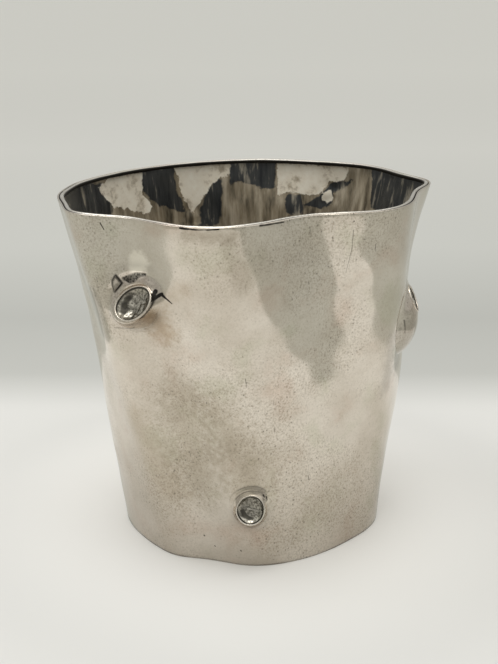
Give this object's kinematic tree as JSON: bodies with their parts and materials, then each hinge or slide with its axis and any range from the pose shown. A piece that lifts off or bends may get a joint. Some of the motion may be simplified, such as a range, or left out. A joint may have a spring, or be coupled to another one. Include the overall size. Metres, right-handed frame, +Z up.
{
  "type": "champagne bucket",
  "caption": "Hand-raised silver champagne bucket shaped like a cut tree trunk, with a lobed twisting wall, a wavy wired mouth and raised ringed knots.",
  "frame": {"origin": "middle of the underside of the base plate, on the table", "axes": "+Z up, -Y towards the viewer of the picture, +X to the right, where the mouth is pinched to a tip"},
  "size_m": [0.2343, 0.232, 0.2197],
  "materials": {
    "wall_silver": "hand-planished silver sheet, worn satin, warm grey with faint brown and pink fire stain",
    "base_silver": "flat silver sheet, worn satin",
    "solder": "dull tarnished silver solder",
    "rim_silver": "bright drawn silver wire, polished by handling",
    "collar_silver": "raised silver sheet with heat stain round the solder joint",
    "ring_silver": "bright half round silver wire",
    "dish_silver": "sunk silver disc, bright with dark tarnish"
  },
  "bodies": {
    "root": {"wall": "wall_silver", "base_plate": "base_silver", "base_solder": "solder", "rim_wire": "rim_silver", "upper_left_knot_collar": "collar_silver", "upper_left_knot_ring": "ring_silver", "upper_left_knot_dish": "dish_silver", "lower_front_knot_collar": "collar_silver", "lower_front_knot_ring": "ring_silver", "lower_front_knot_dish": "dish_silver", "right_knot_collar": "collar_silver", "right_knot_ring": "ring_silver", "right_knot_dish": "dish_silver", "back_right_knot_collar": "collar_silver", "back_right_knot_ring": "ring_silver", "back_right_knot_dish": "dish_silver", "back_left_knot_collar": "collar_silver", "back_left_knot_ring": "ring_silver", "back_left_knot_dish": "dish_silver"}
  },
  "joints": []
}
